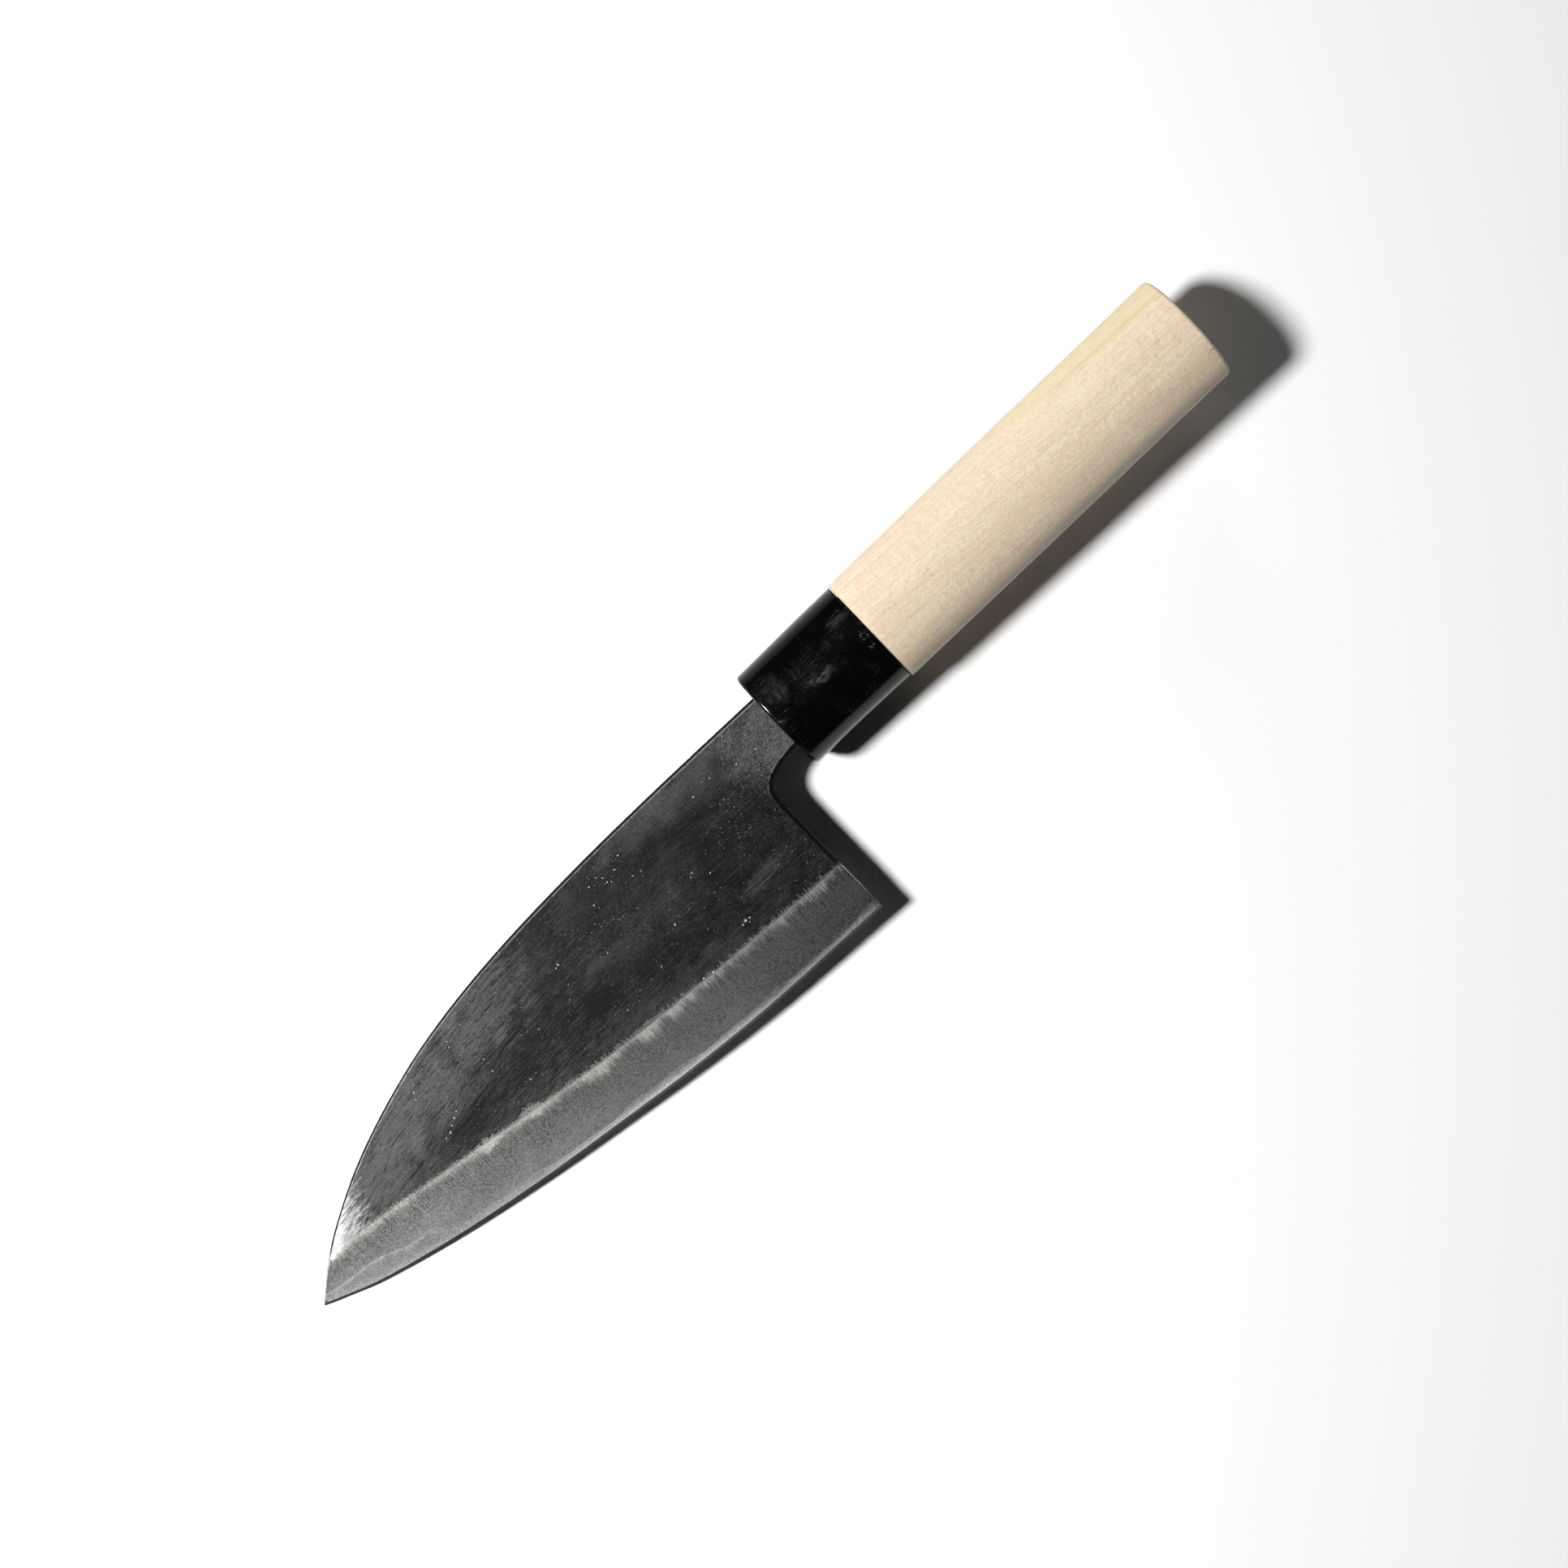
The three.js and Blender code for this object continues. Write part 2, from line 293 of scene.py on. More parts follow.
def neck_round(x, y):
    """Radius of the rounded neck and choil, in mm; the heel's corner is sharp."""
    r = np.interp(y, [8, 20, 33, 38, 45], [1.2, 1.1, 0.6, 0.15, 0.08])
    return np.where(x < -1, 0.6, r)


def rim_drop(d, r, high):
    """How far an edge rounded with radius r has fallen at distance d from the outline."""
    t = np.clip((r - d) / r, 0, 1)
    return high * (1 - np.sqrt(np.maximum(1 - t * t, 0)))


class Blade:
    """Heights of one side of the blade at a set of points."""

    def __init__(self, xy, seed):
        x, y = xy[:, 0], xy[:, 1]
        ds, dn = distance_to(TOP_LINE, xy), distance_to(NECK_LINE, xy)
        s = face(x, y, seed)
        in_pit, depth = pit_shape(x, y, seed)
        s = s - depth
        rs, rn = spine_round(x), neck_round(x, y)
        s = s - rim_drop(ds, rs, np.minimum(rs, np.maximum(s - 0.45, 0.02)))
        s = s - rim_drop(dn, rn, np.minimum(rn * 1.05, np.maximum(s - 0.45, 0.01)))
        self.top = np.maximum(s, 0.04)
        lam = lam_at(x)
        at_lam = np.maximum(face(x, lam, seed), 0.05)
        inner = at_lam + (CORE_HALF - at_lam) * smooth(lam - y, 0, 3.0)
        self.inner = np.minimum(inner, self.top - 0.03 * smooth(lam - y, 0, 0.6))
        self.facts = {
            "ridge": y - ridge_at(x), "steel": y - lam, "edge": distance_to(EDGE_LINE, xy),
            "spine": ds, "neck": dn, "tone_and_sheen": tone_and_sheen_at(x, y, seed), "pit": in_pit,
        }


def triangulate(outline, lines, spacing, near):
    """Triangles in a closed outline on the given lines and a grid that stays near away."""
    points = [Vector(p) for p in outline]
    edges = [(i, (i + 1) % len(outline)) for i in range(len(outline))]
    for line in lines:
        start = len(points)
        points += [Vector(p) for p in line]
        edges += [(start + i, start + i + 1) for i in range(len(line) - 1)]
    lo, hi = outline.min(0), outline.max(0)
    gx = np.arange(lo[0], hi[0], spacing)
    gy = np.arange(lo[1], hi[1], spacing * 0.87)
    X, Y = np.meshgrid(gx, gy)
    X = X + (np.arange(len(gy)) % 2)[:, None] * spacing / 2
    grid = np.stack([X.ravel(), Y.ravel()], 1)
    grid = grid[inside(outline, grid)]
    keep = distance_to(np.vstack([outline, outline[:1]]), grid) > near
    for line in lines:
        keep &= distance_to(line, grid) > spacing * 0.35
    points += [Vector(p) for p in grid[keep]]
    verts, _, faces, *_ = delaunay_2d_cdt(points, edges, [list(range(len(outline)))], 1, 1e-4)
    xy = np.array([tuple(v) for v in verts])
    tris = np.array([f for f in faces if len(f) == 3])
    tris = tris[inside(outline, xy[tris].mean(1))]
    used, back = np.unique(tris, return_inverse=True)
    return xy[used], back.reshape(-1, 3)


def inside(outline, pts):
    """Which points lie inside a closed outline."""
    x, y = pts[:, 0], pts[:, 1]
    hit = np.zeros(len(pts), bool)
    a, b = outline, np.roll(outline, -1, 0)
    for (x0, y0), (x1, y1) in zip(a, b):
        if y0 == y1:
            continue
        cross = (y0 > y) != (y1 > y)
        hit ^= cross & (x < (x1 - x0) * (y - y0) / (y1 - y0) + x0)
    return hit


def two_sided(name, xy, tris, top, bottom, facts):
    """A closed body from a flat triangulation with a top and a bottom height."""
    n = len(xy)
    verts = np.vstack([np.c_[xy, top], np.c_[xy, bottom]]) * MM
    p = xy[tris]
    area = np.cross(p[:, 1] - p[:, 0], p[:, 2] - p[:, 0])
    tris = np.where(area[:, None] > 0, tris, tris[:, ::-1])
    count = {}
    for t in tris:
        for a, b in ((t[0], t[1]), (t[1], t[2]), (t[2], t[0])):
            count[(a, b)] = count.get((a, b), 0) + 1
    walls = [(a, a + n, b + n, b) for (a, b) in count if (b, a) not in count]
    faces = [tuple(t) for t in tris] + [tuple(t[::-1] + n) for t in tris] + walls
    mesh = bpy.data.meshes.new(name)
    mesh.from_pydata([tuple(v) for v in verts], [], [tuple(int(i) for i in f) for f in faces])
    for key, values in facts.items():
        layer = mesh.attributes.new(key, "FLOAT", "POINT")
        layer.data.foreach_set("value", np.r_[values, values].astype(np.float32))
    bm = bmesh.new()
    bm.from_mesh(mesh)
    bmesh.ops.remove_doubles(bm, verts=bm.verts, dist=2e-7)
    bmesh.ops.dissolve_degenerate(bm, edges=bm.edges, dist=1e-8)
    bmesh.ops.recalc_face_normals(bm, faces=bm.faces)
    bm.to_mesh(mesh)
    bm.free()
    return finish_mesh(name, mesh, 40, creases=True)


def placed(name, data):
    """A new object in the scene."""
    ob = bpy.data.objects.new(name, data)
    bpy.context.scene.collection.objects.link(ob)
    return ob


def finish_mesh(name, mesh, angle, creases=False):
    """An object that is smooth but for edges past the angle, and the blade's own creases."""
    mesh.polygons.foreach_set("use_smooth", [True] * len(mesh.polygons))
    mesh.set_sharp_from_angle(angle=math.radians(angle))
    if creases:
        ridge = np.zeros(len(mesh.vertices), np.float32)
        edge = np.zeros(len(mesh.vertices), np.float32)
        mesh.attributes["ridge"].data.foreach_get("value", ridge)
        mesh.attributes["edge"].data.foreach_get("value", edge)
        on = (np.abs(ridge) < 0.02) | (np.abs(edge - MICRO_WIDE) < 0.02)
        ends = np.zeros(len(mesh.edges) * 2, np.int32)
        mesh.edges.foreach_get("vertices", ends)
        sharp = np.zeros(len(mesh.edges), bool)
        layer = mesh.attributes["sharp_edge"]
        layer.data.foreach_get("value", sharp)
        sharp |= on[ends.reshape(-1, 2)].all(1)
        layer.data.foreach_set("value", sharp)
    mesh.update()
    return placed(name, mesh)


def inward(line):
    """At each point of an outline's line, the direction into the blade."""
    d = np.gradient(line, axis=0)
    d /= np.linalg.norm(d, axis=1)[:, None]
    return np.stack([-d[:, 1], d[:, 0]], 1)


def rim_lines(line, radius_at):
    """Lines inside the blade that follow a rounded rim."""
    base = resample(line, 0.8)
    radius = radius_at(base[:, 0], base[:, 1])[:, None]
    return [base + inward(base) * (radius * share)
            for share in (0.03, 0.18, 0.43, 0.74, 0.93, 1.08)]


def clip(lines, ring_pts, margin=0.04):
    """The stretches of some lines that lie inside an outline, clear of its rim."""
    ring = np.vstack([ring_pts, ring_pts[:1]])
    out = []
    for line in lines:
        ok = inside(ring_pts, line) & (distance_to(ring, line) > margin)
        cuts = np.flatnonzero(np.diff(ok.astype(int))) + 1
        for run, good in zip(np.split(line, cuts), [g[0] for g in np.split(ok, cuts)]):
            if good and len(run) > 1:
                out.append(run)
    return out


def blade_pieces():
    ridge = trace(ridge_at, 5.5, 160, 200)
    lam = trace(lam_at, 8, 160.5, 340)
    micro = resample(EDGE_LINE + inward(EDGE_LINE) * MICRO_WIDE, 0.8)
    rims = rim_lines(TOP_LINE, lambda x, y: spine_round(x)) + rim_lines(NECK_LINE, neck_round)

    whole = np.vstack([resample(TOP_LINE, 0.8)[:-1], resample(EDGE_LINE, 0.7)[:-1],
                       resample(NECK_LINE, 0.7)])
    xy, tris = triangulate(whole, clip([lam, micro], whole), 1.6, 0.5)
    left, right = Blade(xy, 1), Blade(xy, 2)
    out = xy[:, 1] >= lam_at(xy[:, 0]) - 1e-6
    core = two_sided("blade_core_steel", xy, tris, np.where(out, left.top, left.inner),
                     -np.where(out, right.top, right.inner), left.facts)

    sx = TOP_LINE[:, 0]
    joins = sx[(sx > 150) & (TOP_LINE[:, 1] > lam_at(sx))][0]
    top = resample(TOP_LINE[sx < joins - 0.05], 0.8)
    low = trace(lam_at, joins, HEEL_AT + 0.02, 330)
    neck = resample(NECK_LINE[NECK_LINE[:, 1] < lam_at(HEEL_AT) - 0.1], 0.7)
    skin = np.vstack([top, low, neck])
    made = []
    for name, seed, side in (("blade_cladding_left", 1, 1), ("blade_cladding_right", 2, -1)):
        lines = clip([ridge] + rims + pit_lines(seed), skin)
        xy, tris = triangulate(skin, lines, 1.3, 0.35)
        b = Blade(xy, seed)
        hi, lo = (b.top, b.inner) if side > 0 else (-b.inner, -b.top)
        made.append(two_sided(name, xy, tris, hi, lo, b.facts))
    return made[0], core, made[1]


# ---------------------------------------------------------------- handle and ferrule

def oval(radius, angle):
    """A point on the handle's flattened, slightly square oval."""
    c, s = math.cos(angle), math.sin(angle)
    k = radius / (abs(c) ** SQUARENESS + abs(s) ** SQUARENESS) ** (1 / SQUARENESS)
    return k * c, k * s * FLATTENING


def turned(bm, profile, around, wobble):
    """Rings of an oval body of the given (x, radius) profile, joined by faces."""
    rings = []
    for x, r in profile:
        ring = []
        for i in range(around):
            a = 2 * math.pi * i / around
            y, z = oval(r, a)
            k = 1 + wobble(x, a) / max(r, 1)
            ring.append(bm.verts.new((x * MM, y * k * MM, z * k * MM)))
        rings.append(ring)
    for a, b in zip(rings, rings[1:]):
        for i in range(around):
            j = (i + 1) % around
            bm.faces.new((a[i], b[i], b[j], a[j]))
    return rings


def arc(x, r, size, a, b, n):
    """A profile's round stretch about (x, r), from angle a to b in degrees."""
    return [(x + size * math.cos(math.radians(a + (b - a) * k / n)),
             r + size * math.sin(math.radians(a + (b - a) * k / n))) for k in range(n + 1)]


def steps(x0, r0, x1, r1, n):
    """A profile's straight stretch, without its ends."""
    return [(x0 + (x1 - x0) * k / n, r0 + (r1 - r0) * k / n) for k in range(1, n)]


def from_bmesh(name, bm, angle):
    bmesh.ops.recalc_face_normals(bm, faces=bm.faces)
    mesh = bpy.data.meshes.new(name)
    bm.to_mesh(mesh)
    bm.free()
    return finish_mesh(name, mesh, angle)


def ferrule_piece():
    bm = bmesh.new()
    bore = TENON_RADIUS + BORE_GAP
    small, size = FERRULE_BACK_ROUNDING, FERRULE_ROUNDING
    back, high = JOINT_AT, FERRULE_BACK_RADIUS
    profile = [(back + 0.02, bore), (back, bore + 0.05), (back, high - 0.3)]
    profile += arc(back + small, high - small, small, 180, 90, 4)
    profile += steps(back + small, high, -size, FERRULE_FRONT_RADIUS, 40)
    profile += arc(-size, FERRULE_FRONT_RADIUS - size, size, 90, 0, 10)
    # The bore's mouth is flared.
    profile += [(0, bore + 0.45), (-0.1, bore + 0.18), (-0.35, bore + 0.02), (-0.6, bore)]
    rings = turned(bm, profile, 256, lambda x, a: 0.03 * math.sin(3 * a + x * 0.11) + 0.02
                   * math.sin(5 * a - x * 0.23 + 1))
    n = len(rings[0])
    for i in range(n):
        j = (i + 1) % n
        bm.faces.new((rings[-1][i], rings[0][i], rings[0][j], rings[-1][j]))
    return from_bmesh("ferrule_sleeve", bm, 50)


def cap_with_slot(bm, ring, x, slot):
    """Closes the tenon's front between its rim and the tang slot."""
    outer = [Vector((v.co.y / MM, v.co.z / MM)) for v in ring]
    n, m = len(outer), len(slot)
    pts = outer + [Vector(p) for p in slot]
    edges = [(i, (i + 1) % n) for i in range(n)] + [(n + i, n + (i + 1) % m) for i in range(m)]
    verts, _, faces, origin, *_ = delaunay_2d_cdt(pts, edges, [], 0, 1e-4)
    rim = np.array([tuple(p) for p in slot])
    made = {}
    for i, v in enumerate(verts):
        ids = [k for k in origin[i] if k < n]
        made[i] = ring[ids[0]] if ids else bm.verts.new((x * MM, v.x * MM, v.y * MM))
    hole = [None] * m
    for i in range(len(verts)):
        for k in origin[i]:
            if k >= n:
                hole[k - n] = made[i]
    for f in faces:
        c = np.mean([tuple(verts[i]) for i in f], 0)
        if not inside(rim, c[None])[0]:
            bm.faces.new([made[i] for i in f])
    return hole


def slot_outline(high, thick, corner=0.7):
    """A rounded rectangle, from its half height and half thickness."""
    pts = []
    for cy, cz, a in ((high, thick, 0), (-high, thick, 90), (-high, -thick, 180),
                      (high, -thick, 270)):
        sy, sz = math.copysign(1, cy), math.copysign(1, cz)
        for k in range(5):
            t = math.radians(a + 22.5 * k)
            pts.append((cy - sy * corner + corner * math.cos(t),
                        cz - sz * corner + corner * math.sin(t)))
    return pts


def handle_piece():
    bm = bmesh.new()
    shoulder = JOINT_AT - 0.12
    size = BUTT_ROUNDING
    butt = arc(HANDLE_BACK + size, BUTT_RADIUS - size, size, 180, 90, 10)
    profile = [(HANDLE_BACK, 2), (HANDLE_BACK, 6), (HANDLE_BACK, 10)] + butt
    profile += steps(HANDLE_BACK + size, BUTT_RADIUS, shoulder - 0.3, JOINT_RADIUS, 60)
    profile += [(shoulder - 0.3, JOINT_RADIUS), (shoulder - 0.1, JOINT_RADIUS - 0.06),
                (shoulder, JOINT_RADIUS - 0.25), (shoulder, 11.5), (shoulder, TENON_RADIUS)]
    profile += steps(shoulder, TENON_RADIUS, -TENON_RECESS - 0.3, TENON_RADIUS, 6)
    profile += [(-TENON_RECESS - 0.3, TENON_RADIUS), (-TENON_RECESS, TENON_RADIUS - 0.3)]
    rings = turned(bm, profile, 224, lambda x, a: 0.05 * math.sin(2 * a + x * 0.05)
                   + 0.03 * math.sin(4 * a - x * 0.09 + 2) if x < JOINT_AT - 0.2 else 0)
    middle = bm.verts.new((HANDLE_BACK * MM, 0, 0))
    first = rings[0]
    for i in range(len(first)):
        bm.faces.new((middle, first[i], first[(i + 1) % len(first)]))
    last = cap_with_slot(bm, rings[-1], -TENON_RECESS, slot_outline(*SLOT_FRONT))
    for k in range(1, 9):
        t = k / 8
        pts = slot_outline(*(a - b * t for a, b in zip(SLOT_FRONT, SLOT_TAPER)))
        x = -TENON_RECESS + (TANG_BACK - 1 + TENON_RECESS) * t
        ring = [bm.verts.new((x * MM, y * MM, z * MM)) for y, z in pts]
        for i in range(len(ring)):
            j = (i + 1) % len(ring)
            bm.faces.new((last[i], last[j], ring[j], ring[i]))
        last = ring
    bm.faces.new(last)
    return from_bmesh("handle_wood", bm, 40)


LEFT, CORE_PIECE, RIGHT = blade_pieces()
FERRULE = ferrule_piece()
HANDLE = handle_piece()

# The pieces are made in the knife's axes, then laid down where the CAD handle lies.
turn = Matrix.Rotation(PITCH, 4, "Y")
lo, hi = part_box("handle")
corners = np.array([tuple(turn @ v.co) for v in HANDLE.data.vertices])
offset = (Vector(lo) + Vector(hi)) / 2 - Vector((corners.min(0) + corners.max(0)) / 2)
PLACE = Matrix.Translation(offset) @ turn
for piece, node, look in ((LEFT, "left_cladding", "forge_scale_left"),
                          (CORE_PIECE, "core_steel", "edge_steel"),
                          (RIGHT, "right_cladding", "forge_scale_right"),
                          (FERRULE, "ferrule", "ferrule_black"),
                          (HANDLE, "handle", "handle_wood")):
    piece.data.transform(PLACE)
    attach(piece, "root")
    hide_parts(node)


# ---------------------------------------------------------------- materials

class Look:
    """A material being made; each method adds a node and returns its output."""

    def __init__(self, name):
        self.mat = bpy.data.materials.new(name)
        self.mat.use_nodes = True
        self.tree = self.mat.node_tree
        self.tree.nodes.clear()
        self.shader = self.add("ShaderNodeBsdfPrincipled")
        out = self.add("ShaderNodeOutputMaterial")
        self.tree.links.new(self.shader.outputs[0], out.inputs[0])
        # The knife's own axes, in mm.
        back = self.add("ShaderNodeMapping", vector_type="TEXTURE")
        back.inputs["Location"].default_value = PLACE.to_translation()
        back.inputs["Rotation"].default_value = PLACE.to_euler()
        back.inputs["Scale"].default_value = (MM, MM, MM)
        self.put(back.inputs["Vector"], self.add("ShaderNodeTexCoord").outputs["Object"])
        self.mm = back.outputs[0]

    def add(self, kind, **settings):
        node = self.tree.nodes.new(kind)
        for key, value in settings.items():
            setattr(node, key, value)
        return node

    def put(self, socket, value):
        if isinstance(value, bpy.types.NodeSocket):
            self.tree.links.new(value, socket)
        elif value is not None:
            socket.default_value = value

    def vector(self, op, a, b):
        node = self.add("ShaderNodeVectorMath", operation=op)
        self.put(node.inputs[0], a)
        self.put(node.inputs[1], b)
        return node.outputs["Value" if op in ("DISTANCE", "DOT_PRODUCT") else "Vector"]

    def math(self, op, a, b=None, c=None):
        node = self.add("ShaderNodeMath", operation=op)
        for socket, value in zip(node.inputs, (a, b, c)):
            self.put(socket, value)
        return node.outputs[0]

    def times(self, a, b):
        return self.math("MULTIPLY", a, b)

    def split(self, vec=None):
        node = self.add("ShaderNodeSeparateXYZ")
        self.put(node.inputs[0], vec or self.mm)
        return node.outputs[:3]

    def join(self, x, y, z=0.0):
        node = self.add("ShaderNodeCombineXYZ")
        for socket, value in zip(node.inputs, (x, y, z)):
            self.put(socket, value)
        return node.outputs[0]

    def fact(self, name):
        """One of the values kept with the blade's points; distances are in mm."""
        return self.add("ShaderNodeAttribute", attribute_name=name).outputs["Fac"]

    def noise(self, scale, vec=None, at=(0, 0, 0), detail=2.0, rough=0.5, bend=0.0):
        """Noise whose features are 1/scale mm across; scale is a number or one per axis."""
        if isinstance(scale, (int, float)):
            scale = (scale,) * 3
        moved = self.vector("ADD", self.vector("MULTIPLY", vec or self.mm, scale), at)
        node = self.add("ShaderNodeTexNoise")
        self.put(node.inputs["Vector"], moved)
        node.inputs["Scale"].default_value = 1.0
        node.inputs["Detail"].default_value = detail
        node.inputs["Roughness"].default_value = rough
        node.inputs["Distortion"].default_value = bend
        return node.outputs[0]

    def fit(self, value, a, b, lo=0.0, hi=1.0, soft=True):
        """Value from a…b turned into lo…hi, held at the ends."""
        node = self.add("ShaderNodeMapRange",
                        interpolation_type="SMOOTHSTEP" if soft else "LINEAR")
        for socket, number in zip(node.inputs, (value, a, b, lo, hi)):
            self.put(socket, number)
        return node.outputs[0]

    def swing(self, value, reach=0.25):
        """A noise, centred on 0: 0.5 either way for a reach either way."""
        return self.fit(value, 0.5 - reach, 0.5 + reach, -0.5, 0.5, False)

    def mix(self, share, a, b, how="MIX"):
        node = self.add("ShaderNodeMix", data_type="RGBA", blend_type=how)
        self.put(node.inputs[0], share)
        for socket, colour in ((node.inputs[6], a), (node.inputs[7], b)):
            if isinstance(colour, tuple):
                colour = (*colour, 1.0)
            elif isinstance(colour, (int, float)):
                colour = (colour, colour, colour, 1.0)
            self.put(socket, colour)
        return node.outputs[2]

    def blend(self, share, a, b):
        """A plain number between a and b."""
        node = self.add("ShaderNodeMix", data_type="FLOAT")
        self.put(node.inputs[0], share)
        self.put(node.inputs[2], a)
        self.put(node.inputs[3], b)
        return node.outputs[0]

    def line(self, value, middle, width):
        """1 on a thin contour of a noise, 0 away from it."""
        off = self.math("ABSOLUTE", self.math("SUBTRACT", value, middle))
        return self.fit(off, width, 0.0)

    def patch(self, cx, cy, rx, ry, lean=0.0, ragged=0.5):
        """1 inside a soft, ragged oval patch; all sizes in mm."""
        x, y, _ = self.split()
        dx = self.math("SUBTRACT", x, cx)
        dy = self.math("SUBTRACT", self.math("SUBTRACT", y, cy), self.times(dx, lean))
        away = self.join(self.math("DIVIDE", dx, rx), self.math("DIVIDE", dy, ry))
        size = self.vector("DISTANCE", away, (0, 0, 0))
        rough = self.noise(1.6 / min(rx, ry, 8), at=(cx, cy, 0), detail=3)
        size = self.math("ADD", size, self.fit(rough, 0.25, 0.75, -ragged, ragged, False))
        return self.fit(size, 1.2, 0.35)

    def most(self, values):
        """The largest of several values."""
        total = values[0]
        for value in values[1:]:
            total = self.math("MAXIMUM", total, value)
        return total

    def plus(self, *parts):
        """Sum of (value, weight) pairs."""
        total = 0.0
        for value, weight in parts:
            total = self.math("MULTIPLY_ADD", value, weight, total)
        return total

    def finish(self, colour, rough, metal=0.0, height=None, depth=0.0):
        """Wires the shader; depth is the height, in mm, of a full step of the bump."""
        s = self.shader.inputs
        self.put(s["Base Color"], colour)
        self.put(s["Roughness"], rough)
        self.put(s["Metallic"], metal)
        if height is not None:
            bump = self.add("ShaderNodeBump")
            bump.inputs["Strength"].default_value = 1.0
            bump.inputs["Distance"].default_value = depth * MM
            self.put(bump.inputs["Height"], height)
            self.put(s["Normal"], bump.outputs[0])
        return self.mat


# The wood's colours, and what each belongs to.
WOOD = {
    "plain": (0.592, 0.492, 0.366), "pale": (0.664, 0.568, 0.430),
    "band": (0.575, 0.452, 0.330), "streak": (0.545, 0.412, 0.290),
    "thread": (0.520, 0.400, 0.280), "pore": (0.470, 0.372, 0.270),
    "fibre": (0.760, 0.670, 0.535), "ripple": (0.555, 0.415, 0.290),
    "early": (0.560, 0.470, 0.295), "ochre": (0.520, 0.395, 0.225),
    "painted_edge_side_shade": (0.470, 0.410, 0.300), "fleck": (0.36, 0.26, 0.16), "end": (0.45, 0.35, 0.235),
    "crack": (0.16, 0.12, 0.08), "burnt": (0.10, 0.07, 0.045),
}


def wood_look():
    n = Look("magnolia_wood")
    x, y, z = n.split()
    # Growth rings run along the handle, tilted across its section and a little off its axis.
    across = n.plus((y, 0.94), (z, 0.30), (x, 0.045))
    sway = n.fit(n.noise((0.012, 0.05, 0.05), detail=1), 0.2, 0.8, -1.2, 1.2, False)
    across = n.math("ADD", across, sway)
    grain = n.join(x, across, z)
    band = n.noise((0.006, 0.34, 0.12), grain, at=(0, 3, 0), detail=3, rough=0.6)
    streak = n.noise((0.022, 1.3, 0.5), grain, detail=4, rough=0.65)
    thread = n.noise((0.16, 3.2, 2.2), grain, at=(5, 0, 0), detail=3, rough=0.75)
    dash = n.noise((0.5, 4.5, 4.5), grain, at=(3, 0, 0), detail=2)
    dash = n.times(n.fit(dash, 0.6, 0.74), n.fit(streak, 0.35, 0.6, 0.3, 1.0))
    grit = n.noise((1.1, 2.9, 2.7), grain, at=(1, 7, 0), detail=2, rough=0.85)
    patch = n.noise((0.05, 0.16, 0.16), detail=4, rough=0.6)
    ripple = n.noise((1.15, 0.22, 0.3), at=(0, 9, 0), detail=3, rough=0.6, bend=0.9)
    rippled = n.fit(n.noise((0.03, 0.12, 0.12), at=(8, 0, 1), detail=2), 0.40, 0.55)
    colour = n.mix(n.fit(patch, 0.3, 0.7), WOOD["plain"], WOOD["pale"])
    colour = n.mix(n.fit(band, 0.38, 0.66, 0.0, 0.55), colour, WOOD["band"])
    colour = n.mix(n.fit(streak, 0.45, 0.68, 0.0, 0.75), colour, WOOD["streak"])
    colour = n.mix(n.fit(thread, 0.42, 0.70, 0.0, 0.62), colour, WOOD["thread"])
    colour = n.mix(n.fit(grit, 0.54, 0.25, 0.0, 0.85), colour, WOOD["pore"])
    colour = n.mix(n.fit(grit, 0.52, 0.78, 0.0, 0.6), colour, WOOD["fibre"])
    cross = n.times(n.fit(ripple, 0.48, 0.7), rippled)
    colour = n.mix(cross, colour, WOOD["ripple"])
    # Yellower early wood along the back, with one ochre ring beside it.
    ring = n.plus((across, 1.0), (n.noise((0.03, 0.25, 0.2), detail=2), 1.4),
                  (n.fit(x, -92, -66), 1.8))
    colour = n.mix(n.fit(ring, -10.9, -12.6, 0.0, 0.75), colour, WOOD["early"])
    ochre = n.times(n.line(ring, -11.4, 1.1), n.fit(x, -70, -105, 0.15, 0.7))
    colour = n.mix(ochre, colour, WOOD["ochre"])
    # Painted shade: the handle's edge side, turned away from the key light, is darkened to olive
    # grey in streaky patches.
    painted_edge_side_shade = n.times(n.fit(y, 9.8, 12.6), n.fit(streak, 0.3, 0.7, 0.35, 0.8))
    colour = n.mix(painted_edge_side_shade, colour, WOOD["painted_edge_side_shade"])
    colour = n.mix(n.times(dash, 0.7), colour, WOOD["fleck"])
    end = n.fit(x, HANDLE_BACK + 0.35, HANDLE_BACK + 0.02)
    pores = n.noise(2.4, at=(4, 4, 4), detail=3, rough=0.7)
    colour = n.mix(n.times(end, n.fit(pores, 0.3, 0.7, 0.1, 0.7)), colour, WOOD["end"])
    split = n.times(n.patch(-121.2, 7.35, 1.6, 0.13, 0.02, 0.2), n.fit(z, 0, 2))
    colour = n.mix(n.times(split, 0.75), colour, WOOD["crack"])
    burnt = n.times(n.fit(x, JOINT_AT - 0.5, JOINT_AT - 0.1), n.fit(grit, 0.3, 0.7, 0.2, 0.9))
    burnt = n.most([burnt, n.fit(x, JOINT_AT - 0.06, JOINT_AT - 0.02)])
    colour = n.mix(burnt, colour, WOOD["burnt"])
    height = n.plus((grit, 1.3), (thread, 0.6), (streak, 0.5), (ripple, 0.8), (dash, -0.5),
                    (split, -1.5))
    return n.finish(colour, n.fit(thread, 0.3, 0.7, 0.5, 0.62), height=height, depth=0.05)


